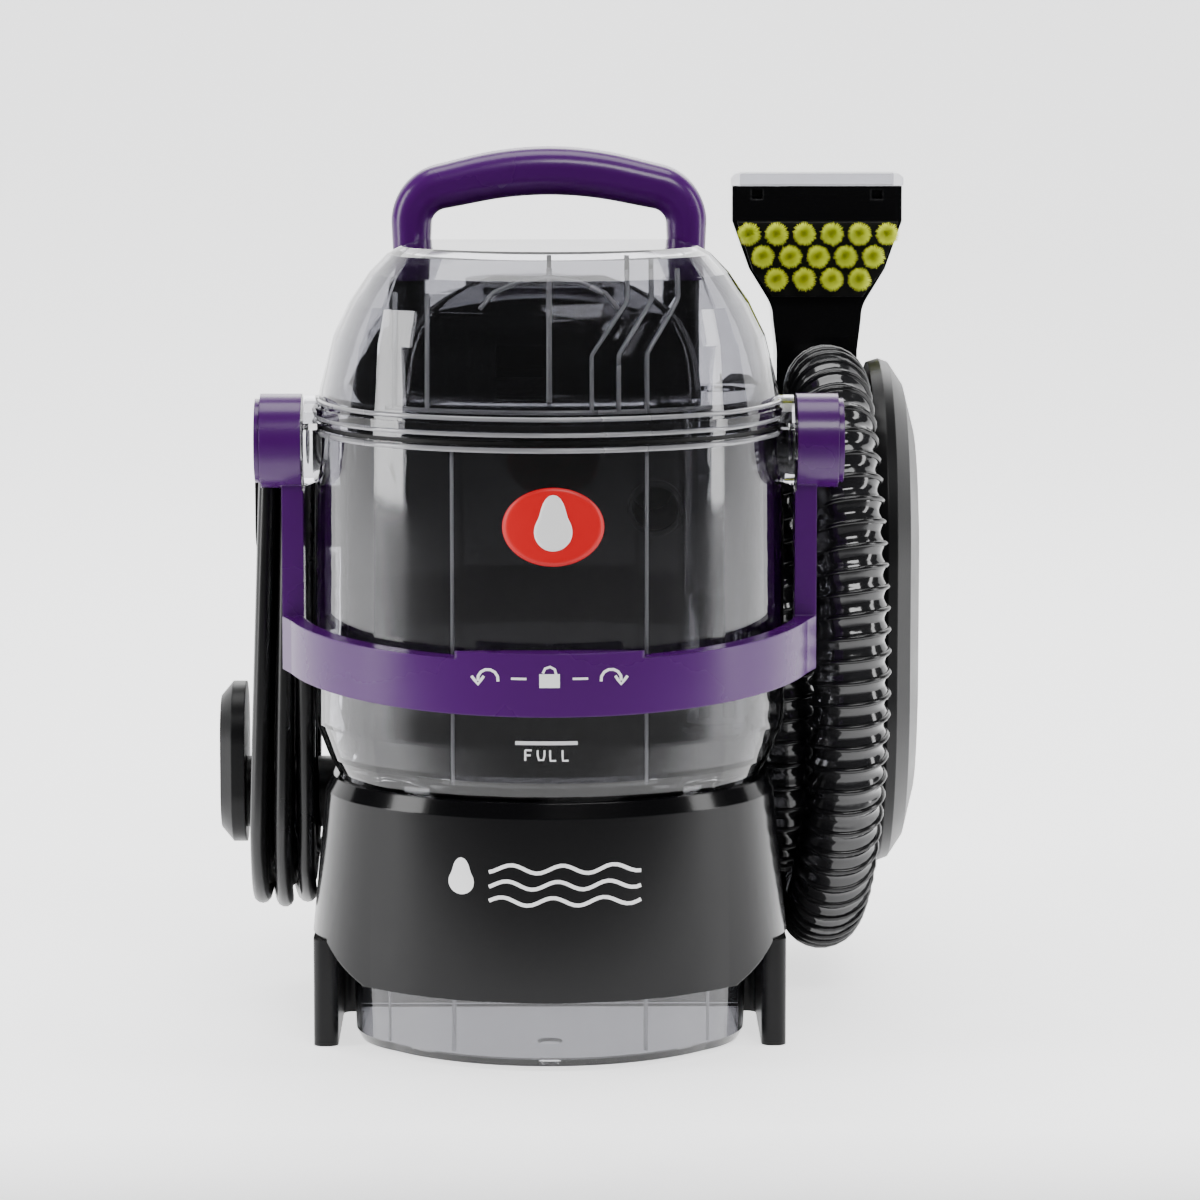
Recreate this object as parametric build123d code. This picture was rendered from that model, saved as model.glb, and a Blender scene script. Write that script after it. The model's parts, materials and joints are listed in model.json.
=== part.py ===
"""Portable spot carpet cleaner: a machine with a lift-out collection tank in front, a clean-water tank
behind, a ribbed suction hose wound on its right side and a power cord wound on its left side.

Frame: millimetres, +X to the right seen from the front, +Y to the rear, +Z up. Every sub-part is drawn
from the collection tank's centre plane and the floor, and ORIGIN then moves it so that the frame's origin is
the middle of the object's base.
"""

import os
from math import pi, radians, tan

from build123d import *

# --- driving dimensions -----------------------------------------------------------------------------------
WALL = 2.4  # moulded wall
TANK_REAR = -41.0  # rear face of the collection tank
COLUMN_FRONT = -37.0  # front face of the machine's column
COLUMN_REAR = 62.0
COLUMN_LEFT = -84.0
COLUMN_RIGHT = 62.0  # the right side is set in, to make room for the wound hose
COLUMN_FLOOR = 40.0
COLUMN_TOP = 262.0
CLEAN_FRONT = 66.0  # clean-water tank, front and rear faces
CLEAN_REAR = 160.0
CLEAN_LEFT = -80.0
CLEAN_RIGHT = 60.0
CLEAN_FLOOR = 48.0
CLEAN_TOP = 282.0
SKIRT = 96.0  # half width of the base skirt
RIM_Z = 251.0  # top of the collection tank's wall
PIVOT_Y = -80.0  # axis of the bail's trunnions
PIVOT_Z = 245.0
PIN_R = 8.0
PIN_CLEARANCE = 0.08
HUB_IN = 99.8  # inner and outer faces of the bail's hubs
HUB_OUT = 118.7
HUB_R = 19.0
HANDLE_Y = -25.0  # middle of the fixed carry handle
HANDLE_DEPTH = 25.0
HOSE_D = 34.0
CORD_D = 7.3
GRIP_X = 118.5  # axis of the stored hand grip and tool
GRIP_Y = 143.0
GRIP_FOOT = 104.0
GRIP_TOP = 246.0
TOOL_TOP = 340.0
LIP_FOOT = 334.6
MOTOR_Y = 14.0
MOTOR_X = -12.0
RIB_X = 38.0  # upright ribs in the front wall of the tank
ORIGIN = (-9.5, 3.5, 0)  # puts the middle of the whole object's base at the frame's origin

# Sections of the D-shaped mouldings: height, front, corner (x, y), side (x, y), rear half width, rear.
TANK_OUTER = [
    (2, -148, 62, -120, 77, -84, 76, TANK_REAR),
    (6, -150.5, 63.5, -122, 79, -84, 78, TANK_REAR),
    (110, -152, 65, -124, 82, -84, 81, TANK_REAR),
]
SHOULDER_OUTER = [
    (110, -155, 67, -128, 85, -84, 84, TANK_REAR),
    (118, -158, 69, -131, 90, -82, 87, TANK_REAR),
    (131, -158.5, 70, -132, 95.5, -80, 90, TANK_REAR),
]
UPPER_OUTER = [
    (131, -158.5, 70, -132, 95.5, -80, 90, TANK_REAR),
    (RIM_Z, -157, 69, -131.5, 94.5, -80, 89, TANK_REAR),
]
LID_OUTER = [
    (253, -158.5, 69.5, -133, 95, -80, 89, TANK_REAR),
    (266, -157, 68.5, -132, 92.5, -80, 87, TANK_REAR - 1),
    (288, -152.5, 67.5, -129, 87, -80, 80, TANK_REAR - 3),
    (302, -147.5, 65, -125, 80, -80, 73, TANK_REAR - 5),
    (314, -139, 61, -118.5, 71, -80, 65, TANK_REAR - 8),
    (321.5, -131, 56, -112, 63, -80, 58, TANK_REAR - 11),
    (324.5, -124, 51, -106, 57, -80, 53, TANK_REAR - 15),
]
APRON_OUTER = [
    (30, -159, 72, -129, 98, -84, 98, -50),
    (104, -160, 71, -130, 91, -84, 90, -50),
    (110, -157.5, 69, -128.5, 88, -84, 87, -50),
]


# --- small helpers ----------------------------------------------------------------------------------------
def block(x0, x1, y0, y1, z0, z1):
    """A box between two corners."""
    return Pos((x0 + x1) / 2, (y0 + y1) / 2, (z0 + z1) / 2) * Box(abs(x1 - x0), abs(y1 - y0), abs(z1 - z0))


def rod_x(radius, x0, x1, y, z):
    return Pos((x0 + x1) / 2, y, z) * Rot(0, 90, 0) * Cylinder(radius, abs(x1 - x0))


def rod_y(radius, x, y0, y1, z):
    return Pos(x, (y0 + y1) / 2, z) * Rot(90, 0, 0) * Cylinder(radius, abs(y1 - y0))


def rod_z(radius, x, y, z0, z1):
    return Pos(x, y, (z0 + z1) / 2) * Cylinder(radius, abs(z1 - z0))


def slab(plane, outline, low, high):
    """An outline extruded from low to high along the plane's normal."""
    return extrude(plane.offset(low) * make_face(outline), high - low)


def d_face(z, front, corner_x, corner_y, side_x, side_y, rear_x, rear_y):
    """The D-shaped plan of the tank family: a bowed front, two rounded cheeks and a flat back."""
    cheek = ((corner_x + side_x) / 2 + 4.2, (corner_y + side_y) / 2 - 2.6)
    line = ThreePointArc((-corner_x, corner_y), (0, front), (corner_x, corner_y))
    line += ThreePointArc((corner_x, corner_y), cheek, (side_x, side_y))
    line += Polyline((side_x, side_y), (rear_x, rear_y), (-rear_x, rear_y), (-side_x, side_y))
    line += ThreePointArc((-side_x, side_y), (-cheek[0], cheek[1]), (-corner_x, corner_y))
    return Pos(0, 0, z) * make_face(line)


def d_loft(sections, ruled=True):
    return loft([d_face(*s) for s in sections], ruled=ruled)


def shrunk(section, wall, rise=0.0):
    """The same section moved inwards by a wall, and up by rise."""
    z, front, corner_x, corner_y, side_x, side_y, rear_x, rear_y = section
    return (z + rise, front + wall, corner_x - 0.5 * wall, corner_y + 0.9 * wall, side_x - wall, side_y,
            rear_x - wall, rear_y - wall)


def rounded_block(x0, x1, y0, y1, z0, z1, radius):
    """A box with its upright edges rounded."""
    solid = block(x0, x1, y0, y1, z0, z1)
    return fillet(solid.edges().filter_by(Axis.Z), radius)


def both_sides(make):
    """What make(side) returns for the left side, -1, and the right side, +1, as one group."""
    return Compound([s for side in (-1, 1) for s in make(side).solids()])


def group(shapes):
    return Compound([s for shape in shapes for s in shape.solids()])


def tube_along(points, diameter, share=0.45):
    """A tube on straight runs joined by tangent arcs, each as large as its two runs allow."""
    points = [Vector(*p) for p in points]
    radii = []
    for a, b, c in zip(points, points[1:], points[2:]):
        turn = radians((b - a).get_angle(c - b))
        radii.append(share * min((b - a).length, (c - b).length) / tan(turn / 2))
    path = FilletPolyline(*points, radius=radii)
    start = Plane(origin=path @ 0, z_dir=path % 0)
    solid = sweep(start * Circle(diameter / 2), path=path, transition=Transition.ROUND)
    exact = pi * diameter**2 / 4 * path.length
    print(f"tube {path.length:.0f} mm, radii {min(radii):.0f} to {max(radii):.0f} mm, volume {solid.volume / exact:.4f}")
    return solid


# --- collection tank --------------------------------------------------------------------------------------
def collection_tank():
    """The lift-out dirty-water tank: a narrow lower part in the apron, and a wide upper part."""
    outer = d_loft(TANK_OUTER) + d_loft(SHOULDER_OUTER) + d_loft(UPPER_OUTER)
    low = [shrunk(TANK_OUTER[1], WALL, -1.0)] + [shrunk(TANK_OUTER[2], WALL, 3.0)]
    neck = [shrunk((113, *TANK_OUTER[2][1:]), WALL), shrunk((120, *SHOULDER_OUTER[1][1:]), WALL),
            shrunk((132, *SHOULDER_OUTER[2][1:]), WALL)]
    high = [shrunk((132, *UPPER_OUTER[0][1:]), WALL), shrunk((RIM_Z + 1, *UPPER_OUTER[1][1:]), WALL)]
    inner = d_loft(low) + d_loft(neck) + d_loft(high)
    ribs = [block(side * RIB_X - 1.1, side * RIB_X + 1.1, -158, -142, 5, RIM_Z - 3) for side in (-1, 1)]
    shell = outer - inner
    for rib in ribs:
        shell += rib & inner
    shell += block(-82, 82, TANK_REAR - 5, TANK_REAR - 1, 60, 64) & inner
    shell -= rod_z(5, 0, -112, 1, 3.4)
    for side in (-1, 1):
        cup = Pos(side * 92.4, PIVOT_Y, PIVOT_Z) * Rot(0, side * 90, 0) * Cone(13.5, 18.5, 12.4)
        cup &= block(-120, 120, -120, -40, 200, RIM_Z)
        shell += cup - inner
        shell += rod_x(PIN_R, side * 97, side * 110.5, PIVOT_Y, PIVOT_Z)
    return shell - rod_y(9.5, 44, -50, -30, 212)


def tank_seal():
    """The soft gasket between the tank's rim and the lid."""
    outside = d_loft([shrunk((z, *UPPER_OUTER[1][1:]), 0.7) for z in (RIM_Z, RIM_Z + 2)])
    inside = d_loft([shrunk((z, *UPPER_OUTER[1][1:]), 2.2) for z in (RIM_Z - 1, RIM_Z + 3)])
    return outside - inside


# --- lid --------------------------------------------------------------------------------------------------
def lid_void():
    """The space under the dome."""
    low = shrunk(LID_OUTER[0], WALL, -1.0)
    return d_loft([low] + [shrunk(s, WALL, -0.3 * i / 2) for i, s in enumerate(LID_OUTER[1:-1], 1)]
                  + [shrunk(LID_OUTER[-1], WALL, -2.4)])


def lid_dome():
    """The clear domed lid with its moulded air baffles and the upper halves of the trunnion blocks."""
    void = lid_void()
    dome = d_loft(LID_OUTER) - void
    ridge = [(z, -159.5, 70.2, -134, 96, -80, 89.5, TANK_REAR) for z in (256.5, 259.5)]
    dome += d_loft(ridge) - void
    for foot, head in ((16.5, 30.5), (27.0, 40.0), (38.0, 50.5)):
        for (x0, z0), (x1, z1) in (((foot, 265), (foot, 286)), ((foot, 286), (head, 306)),
                                   ((head, 306), (head, 322))):
            baffle = Polyline((x0 - 1, z0), (x0 + 1, z0), (x1 + 1, z1), (x1 - 1, z1), close=True)
            dome += slab(Plane.XZ, baffle, 118, 160) & void
    dome += block(-0.9, 0.9, -160, -96, 268, 322) & void
    for side in (-1, 1):
        ear = rod_x(18.5, side * 88, side * 98.6, PIVOT_Y, PIVOT_Z) & block(-120, 120, -120, -40, 253.6,
                                                                            280)
        dome += ear - void
    return dome - block(MOTOR_X - 10, MOTOR_X + 10, -50, -30, 266, 280)


def separator_plate():
    """The tray under the dome that keeps spray out of the air path, with the air duct's neck at its right."""
    plate = d_loft([shrunk((z, *LID_OUTER[1][1:]), WALL + 0.6) for z in (262.5, 264.5)])
    plate -= rod_z(12.5, 68, -66, 255, 275)
    for i in range(6):
        plate -= block(-60 + 18 * i, -50 + 18 * i, -100, -70, 255, 275)
    return plate


def air_duct():
    """The square duct that hangs from the separator plate into the tank."""
    duct = rounded_block(54, 82, -80, -52, 182, 262.4, 5) - rounded_block(56, 80, -78, -54, 180, 264, 3.5)
    return duct


def float_cage():
    """The slotted cage under the duct, which the shut-off float rides in."""
    cage = rod_z(14.5, 68, -66, 124, 181.8) - rod_z(12.9, 68, -66, 126, 190)
    for i in range(8):
        slot = Pos(68, -66, 148) * Rot(0, 0, 22.5 + 45 * i) * Pos(13.5, 0, 0) * Box(8, 5, 34)
        cage -= slot
    return cage


def shutoff_float():
    """The float is a cup that air holds up on the water."""
    return rod_z(11.8, 68, -66, 128, 150) - rod_z(10.2, 68, -66, 127, 148)


# --- bail -------------------------------------------------------------------------------------------------
def bail_handle():
    """The swinging handle that also clamps the lid: two hubs, two arms and a wide bow in front."""
    bow_plan = ThreePointArc((-104, -97), (0, -173), (104, -97))
    bow_plan += Polyline((104, -97), (108, -88), (108, -72), (99.2, -72), (99.2, -90), (97.5, -96))
    bow_plan += ThreePointArc((97.5, -96), (0, -166.5), (-97.5, -96))
    bow_plan += Polyline((-97.5, -96), (-99.2, -90), (-99.2, -72), (-108, -72), (-108, -88), (-104, -97))
    bow = slab(Plane.XY, bow_plan, 138, 186)
    side_profile = Polyline((-72, 153), (-88, 153), (-176, 146.5), (-176, 168.5), (-88, 174.5),
                            (-72, 174.5),
                            close=True)
    band = bow & slab(Plane.YZ, side_profile, -120, 120)
    tab_profile = Polyline((-150, 160), (-176, 158), (-176, 171.6), (-150, 173.4), close=True)
    tab = (bow - block(-200, 200, -166.5, 0, 0, 400)) & slab(Plane.YZ, tab_profile, -46, 46)
    bail = band + tab
    for side in (-1, 1):
        bail += block(side * 99.2, side * 108, -88, -72, 160, PIVOT_Z)
        bail += rod_x(HUB_R, side * HUB_IN, side * (HUB_OUT - 2.2), PIVOT_Y, PIVOT_Z)
        bail -= rod_x(HUB_R + 2, side * 98, side * HUB_IN, PIVOT_Y, PIVOT_Z)
        bail -= rod_x(PIN_R + PIN_CLEARANCE, side * 99, side * 112, PIVOT_Y, PIVOT_Z)
    return bail


def hub_caps():
    """The snap-in discs that close the outer face of each hub."""
    return both_sides(lambda side: rod_x(HUB_R - 2, side * (HUB_OUT - 2.2), side * HUB_OUT, PIVOT_Y,
                                         PIVOT_Z))


# --- machine: base, apron and column ----------------------------------------------------------------------
def base_chassis():
    """A floor tray whose side walls run forward as two legs beside the collection tank."""
    front, rear, height = -103.0, 166.0, 44.0
    outline = Polyline((-SKIRT, front), (-SKIRT, rear - 14), (-SKIRT + 14, rear), (SKIRT - 14, rear),
                       (SKIRT, rear - 14), (SKIRT, front), (86, front), (86, -38), (-86, -38), (-86, front),
                       close=True)
    base = slab(Plane.XY, outline, 0, height)
    base = fillet([e for e in base.edges().filter_by(Axis.Z) if abs(e.center().X) > 80], 4)
    hollow = Polyline((-SKIRT + 3, front + 3), (-SKIRT + 3, rear - 15.5), (-SKIRT + 15, rear - 3),
                      (SKIRT - 15, rear - 3), (SKIRT - 3, rear - 15.5), (SKIRT - 3, front + 3),
                      (89, front + 3),
                      (89, -35), (-89, -35), (-89, front + 3), close=True)
    base -= slab(Plane.XY, hollow, 3, height - 3)
    base -= slab(Plane.XY, hollow, height - 4, height + 1) & block(-93, 93, -34, 60, 0, 80)
    base -= rod_z(14.4, 81.5, 106, 30, 50) + rod_z(11.6, -10, 113, 30, 50)
    for x, y in PAD_PLACES:
        base -= rod_z(5.0, x, y, -1, 2)
    return base


PAD_PLACES = [(-91, -96), (91, -96), (-84, 146), (84, 146)]


def base_pads():
    """Rubber inserts, flush with the underside."""
    return group([rod_z(4.9, x, y, 0, 1.9) for x, y in PAD_PLACES])


def front_apron():
    """The black band that carries the collection tank and wraps its lower half."""
    outer = d_loft(APRON_OUTER)
    inner = d_loft([
        (29, -156, 70, -127, 95, -84, 95, -40),
        (101, -157, 69, -128, 88, -84, 87, -40),
    ]) + d_loft([
        (100, -153.2, 66, -125.5, 84, -84, 83, -40),
        (111, -153.2, 66, -125.5, 84, -84, 83, -40),
    ])
    rise = Polyline((-84, 20), (-126, 20), (-126, 30.5), (-104.5, 44.3), (-30, 44.3), (-30, 20), close=True)
    apron = outer - inner - slab(Plane.YZ, rise, -120, 120)
    return apron - block(-120, 120, -51, 0, 0, 200)


def column_block(inset, low, high):
    return rounded_block(COLUMN_LEFT + inset, COLUMN_RIGHT - inset, COLUMN_FRONT + inset, COLUMN_REAR
                         - inset,
                         low, high, 9 - inset)


def column_shell():
    return column_block(0, COLUMN_FLOOR + 4.2, COLUMN_TOP) - column_block(2.6, COLUMN_FLOOR + 4, COLUMN_TOP
                                                                          + 1)


def housing_front():
    front = column_shell() & block(-200, 200, -60, MOTOR_Y, 0, 400)
    return front - rod_y(11.8, 44, -40, -30, 212)


def housing_rear():
    rear = column_shell() & block(-200, 200, MOTOR_Y + 0.2, 80, 0, 400)
    for i in range(9):
        rear -= block(-62 + 12 * i, -55 + 12 * i, COLUMN_REAR - 5, COLUMN_REAR + 5, 64, 90)
    return rear - housing_screws()


def top_cover():
    """The arched lid of the column, with two sockets for the carry handle's feet."""
    arch = Polyline((COLUMN_RIGHT, COLUMN_TOP + 0.2), (COLUMN_LEFT, COLUMN_TOP + 0.2), (-80, 270),
                    (-70, 286))
    arch += ThreePointArc((-70, 286), (-4, 299), (COLUMN_RIGHT, 287))
    arch += Line((COLUMN_RIGHT, 287), (COLUMN_RIGHT, COLUMN_TOP + 0.2))
    cover = slab(Plane.XZ, arch, -COLUMN_REAR, -COLUMN_FRONT) & column_block(0, COLUMN_TOP, 310)
    inside = Polyline((COLUMN_RIGHT - 2.6, COLUMN_TOP - 1), (COLUMN_LEFT + 2.6, COLUMN_TOP - 1),
                      (-77.5, 269), (-68, 283.4))
    inside += ThreePointArc((-68, 283.4), (-4, 296.4), (COLUMN_RIGHT - 2.6, 284.4))
    inside += Line((COLUMN_RIGHT - 2.6, 284.4), (COLUMN_RIGHT - 2.6, COLUMN_TOP - 1))
    cover -= slab(Plane.XZ, inside, -COLUMN_REAR + 2.6, -COLUMN_FRONT - 2.6) & column_block(2.6, COLUMN_TOP
                                                                                            - 1, 310)
    for side in (-1, 1):
        post = rounded_block(side * 56.5 - 9.4, side * 56.5 + 5.4, HANDLE_Y - 11.5, HANDLE_Y + 15, 270,
                             306, 3.5)
        cover += post if side < 0 else rounded_block(47, 61.8, HANDLE_Y - 11.5, HANDLE_Y + 15, 270, 306,
                                                     3.5)
    cover -= block(-28, 28, 22, 50, 280, 310)
    return cover - block(MOTOR_X - 10, MOTOR_X + 10, -40, -30, 266, 280) - handle_screws()


def carry_handle():
    """The fixed top handle, an arch with a rounded section whose feet stand on the cover's sockets."""
    arch = FilletPolyline((-56.5, 306.2), (-56.5, 341.5), (0, 354), (56.5, 341.5), (56.5, 306.2),
                          radius=[15, 140, 15])
    path = Plane.XZ.offset(-HANDLE_Y) * arch

    def section(place, thickness):
        plane = Plane(origin=path @ place, x_dir=(0, 1, 0), z_dir=path % place)
        return plane * RectangleRounded(HANDLE_DEPTH, thickness, thickness * 0.42)

    return sweep([section(0, 14), section(0.5, 19.5), section(1, 14)], path=path, multisection=True)


def handle_screws():
    return both_sides(lambda side: rod_z(2.2, side * 55 - 0.5, HANDLE_Y, 296, 306)
                      + rod_z(3.6, side * 55 - 0.5, HANDLE_Y, 293.5, 296))


# --- inside the column ------------------------------------------------------------------------------------
def motor_can():
    return rod_z(38, MOTOR_X, MOTOR_Y, 90, 150) + rod_z(22, MOTOR_X, MOTOR_Y, 150, 158) - rod_z(4.06,
                                                                                                MOTOR_X, MOTOR_Y, 80, 170)


def motor_mounts():
    """Rubber rings that float the motor above and below."""
    low = rod_z(42, MOTOR_X, MOTOR_Y, 80, 89.8) - rod_z(26, MOTOR_X, MOTOR_Y, 79, 91)
    high = rod_z(42, MOTOR_X, MOTOR_Y, 158.2, 166) - rod_z(23, MOTOR_X, MOTOR_Y, 157, 167)
    return group([low, high])


def motor_tray():
    tray = block(-80, 58, -32, 58, 76, 79.8) - rod_z(20, MOTOR_X, MOTOR_Y, 70, 90)
    return tray - block(29, 70, 28, 70, 70, 90)


def fan_housing():
    scroll = rod_z(43, MOTOR_X, MOTOR_Y, 166.2, 196) - rod_z(40.5, MOTOR_X, MOTOR_Y, 168.5, 194)
    scroll -= rod_z(6, MOTOR_X, MOTOR_Y, 160, 170)
    return scroll - rod_z(16, MOTOR_X, MOTOR_Y, 190, 200)


def fan_rotor():
    """The motor's shaft with the suction impeller on its upper end."""
    rotor = rod_z(4, MOTOR_X, MOTOR_Y, 84, 184) + rod_z(37, MOTOR_X, MOTOR_Y, 171, 173.5)
    for i in range(9):
        blade = Pos(MOTOR_X, MOTOR_Y, 179) * Rot(0, 0, 40 * i) * Pos(22, 0, 0) * Rot(0, 0, 28) * Box(26,
                                                                                                     1.6, 12)
        rotor += blade
    return rotor


def suction_duct():
    """The elbow that joins the fan's eye to the port behind the collection tank's lid."""
    duct = rod_z(18.5, MOTOR_X, MOTOR_Y, 196.2, 282) + block(MOTOR_X - 12, MOTOR_X + 12, -34, MOTOR_Y, 264,
                                                             282)
    bore = rod_z(16, MOTOR_X, MOTOR_Y, 195, 280) + block(MOTOR_X - 10, MOTOR_X + 10, -35, MOTOR_Y, 266, 280)
    return duct - bore


def pipe_run(radius):
    """The dirty-water pipe's path under the floor, up the column and forward to the tank, as one solid."""
    path = Polyline((81.5, 106, 44), (81.5, 106, 22), (44, 44, 22), (44, 44, 212), (44, -34.2, 212))
    start = Plane(origin=path @ 0, z_dir=(0, 0, -1))
    return sweep(start * Circle(radius), path=path, transition=Transition.RIGHT)


def recovery_pipe():
    """The pipe that carries dirty water from the hose's outlet up to the tank's rear wall."""
    return pipe_run(11.3) - pipe_run(9.5)


def water_pump():
    return block(31, 56.5, -31, 2, 80, 118) + rod_z(7, 44, -16, 118, 126)


def pump_outlet():
    return rod_z(3.5, 44, -16, 126.2, 168)


def circuit_board():
    board = block(-78, -76, 20, 56, 200, 250)
    for i in range(3):
        board += block(-76, -66, 24 + 10 * i, 31 + 10 * i, 210, 222)
    return board


def switch_frame():
    frame = block(-27.8, 27.8, 22.2, 49.8, 286, 299.4) - block(-24, 24, 25, 47, 280, 305)
    return frame


def power_button():
    return rounded_block(-23.4, 23.4, 25.6, 46.4, 289, 302.4, 3) - block(-20, 20, 29, 43, 288, 299)


def housing_screws():
    places = [(-76, 70), (-76, 180), (54, 70), (54, 180)]
    return group([rod_y(2.6, x, COLUMN_REAR - 4.5, COLUMN_REAR + 1.2, z)
                  for x, z in places])


# --- clean-water tank -------------------------------------------------------------------------------------
def clean_tank():
    """The tall clear tank at the rear, open at its fill neck on top."""
    outer = rounded_block(CLEAN_LEFT, CLEAN_RIGHT, CLEAN_FRONT, CLEAN_REAR, CLEAN_FLOOR, CLEAN_TOP, 18)
    outer = chamfer(outer.faces().sort_by(Axis.Z)[-1].edges(), 7)
    inner = rounded_block(CLEAN_LEFT + WALL, CLEAN_RIGHT - WALL, CLEAN_FRONT + WALL, CLEAN_REAR - WALL,
                          CLEAN_FLOOR + WALL, CLEAN_TOP - WALL, 16)
    inner = chamfer(inner.faces().sort_by(Axis.Z)[-1].edges(), 6)
    tank = outer - inner
    tank += rod_z(24, -10, 113, CLEAN_TOP - 3, CLEAN_TOP + 8)
    tank -= rod_z(21, -10, 113, CLEAN_TOP - 6, CLEAN_TOP + 9)
    tank += rod_z(11, -10, 113, CLEAN_FLOOR - 5, CLEAN_FLOOR + 2)
    tank -= rod_z(8, -10, 113, CLEAN_FLOOR - 6, CLEAN_FLOOR + 4)
    for i in range(3):
        groove = 90 + 60 * i
        tank -= block(-60, 40, CLEAN_REAR - 1, CLEAN_REAR + 1, groove, groove + 1.6)
    return tank


def clean_tank_cap():
    cap = rod_z(27, -10, 113, CLEAN_TOP + 0.3, CLEAN_TOP + 14) - rod_z(24.4, -10, 113, CLEAN_TOP - 1,
                                                                       CLEAN_TOP + 10)
    for i in range(24):
        cap -= Pos(-10, 113, CLEAN_TOP + 7) * Rot(0, 0, 15 * i) * Pos(27.4, 0, 0) * Cylinder(1.2, 20)
    return cap + (rod_z(20.6, -10, 113, CLEAN_TOP + 2, CLEAN_TOP + 10.5))


def tank_valve():
    """The spring-loaded stem in the clean tank's foot."""
    return rod_z(4, -10, 113, CLEAN_FLOOR - 4, CLEAN_FLOOR + 12) + rod_z(7.4, -10, 113, CLEAN_FLOOR + 5,
                                                                         CLEAN_FLOOR + 8)


def tank_dock():
    """The socket in the base that opens the clean tank's valve."""
    dock = rod_z(17, -10, 113, 44.2, 47.6) - rod_z(11.6, -10, 113, 40, 50)
    return dock


# --- hose side --------------------------------------------------------------------------------------------
def hose_core():
    """The upright core on the machine's right side, which the hose is wound on."""
    outside = extrude(Plane.YZ.offset(COLUMN_RIGHT + 0.2) * Pos(CORE_Y, CORE_Z) * SlotOverall(130, 67,
                                                                                              rotation=90),
                      136 - COLUMN_RIGHT - 0.2)
    inside = extrude(Plane.YZ.offset(COLUMN_RIGHT + 3) * Pos(CORE_Y, CORE_Z) * SlotOverall(124, 61,
                                                                                           rotation=90), 70)
    return outside - inside


def hose_flange():
    """The large oval cheek that keeps the hose on its core: a hollow shell that bulges outwards."""
    def oval(height, width, x):
        return Plane.YZ.offset(x) * Pos(50, 157) * SlotOverall(height, width, rotation=90)
    disc = loft([oval(214, 157, 136.2), oval(217, 160, 141), oval(214, 157, 145)], ruled=True)
    crown = loft([oval(214, 157, 145), oval(196, 139, 151), oval(160, 103, 155.5), oval(120, 66, 157)],
                 ruled=True)
    hollow = loft([oval(208, 151, 139), oval(207, 150, 144.5), oval(188, 131, 149), oval(150, 93, 153)],
                  ruled=True)
    return disc + crown - hollow


def outlet_elbow():
    """The rigid stub that the hose leaves the machine by."""
    return rod_z(18.5, 81.5, 106, 44.2, 58) - rod_z(14.5, 81.5, 106, 40, 60)


CORE_Y = 46.0
CORE_Z = 151.0
HOSE_ROUTE = [
    (81.5, 106, 58), (81.5, 106, 88), (81.5, 107, 130), (81.5, 106, 172), (81.8, 95, 213), (82.5, 64, 241),
    (83.5, 24, 245), (88, -9, 221), (95, -20, 180), (100, -21, 138), (101, -17, 98), (101, 3, 69),
              (104, 42, 61),
    (112, 79, 74), (117.2, 99, 106), (117.5, 103, 147), (117.5, 101, 188), (117.2, 85, 226),
              (117.2, 52, 250),
    (117, 13, 260), (118.5, -24, 248), (121.5, -45, 213), (123.5, -53, 172), (123.8, -53, 130),
              (122, -45, 88),
    (118.5, -23, 51), (116, 12, 32), (116, 53, 28.5), (117, 94, 32), (118.5, 129, 46), (GRIP_X, GRIP_Y, 74),
    (GRIP_X, GRIP_Y, GRIP_FOOT - 4),
]


def flex_hose():
    return tube_along(HOSE_ROUTE, HOSE_D)


def tool_holder():
    """The post at the rear right corner, with a spring clip round the stored hand grip."""
    post = block(78, 95, 127, 149, 44.2, 190) - block(81, 92, 130, 146, 47, 186)
    clip = Pos(GRIP_X, GRIP_Y, 174) * (Cylinder(20.6, 16) - Cylinder(18.2, 18))
    clip -= block(GRIP_X + 5, GRIP_X + 40, GRIP_Y - 40, GRIP_Y + 40, 150, 200)
    arm = block(94, 100, GRIP_Y - 8, GRIP_Y + 6, 166, 182)
    return post + clip + (arm - rod_z(18.2, GRIP_X, GRIP_Y, 150, 200))


# --- hand grip and tool -----------------------------------------------------------------------------------
TRIGGER_Y = GRIP_Y + 13.5
TRIGGER_Z = 213.5


def grip_body():
    """The hand grip that the hose ends in, with a squared neck for the tool."""
    barrel = rod_z(17.6, GRIP_X, GRIP_Y, GRIP_FOOT + 22, 218)
    neck = loft([Pos(GRIP_X, GRIP_Y, 210) * RectangleRounded(32, 27, 6),
                 Pos(GRIP_X, GRIP_Y, GRIP_TOP) * RectangleRounded(28, 23, 5)])
    bore = rod_z(13.5, GRIP_X, GRIP_Y, GRIP_FOOT, 206) + rod_z(9, GRIP_X, GRIP_Y, 200, GRIP_TOP + 2)
    slot = block(GRIP_X - 7, GRIP_X + 7, GRIP_Y + 9.8, GRIP_Y + 30, 183, 219)
    return barrel + neck - bore - slot - rod_x(1.55, GRIP_X - 8.6, GRIP_X + 8.6, TRIGGER_Y, TRIGGER_Z)


def hose_cuff():
    """The swivel collar between the hose and the grip."""
    cuff = rod_z(18.4, GRIP_X, GRIP_Y, GRIP_FOOT - 3.8, GRIP_FOOT + 21.8)
    for i in range(5):
        z = GRIP_FOOT + 1 + 4 * i
        cuff -= rod_z(20, GRIP_X, GRIP_Y, z, z + 1.4) - rod_z(17.7, GRIP_X, GRIP_Y, z - 1, z + 3)
    return cuff - rod_z(13.5, GRIP_X, GRIP_Y, GRIP_FOOT - 5, GRIP_FOOT + 25)


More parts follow.
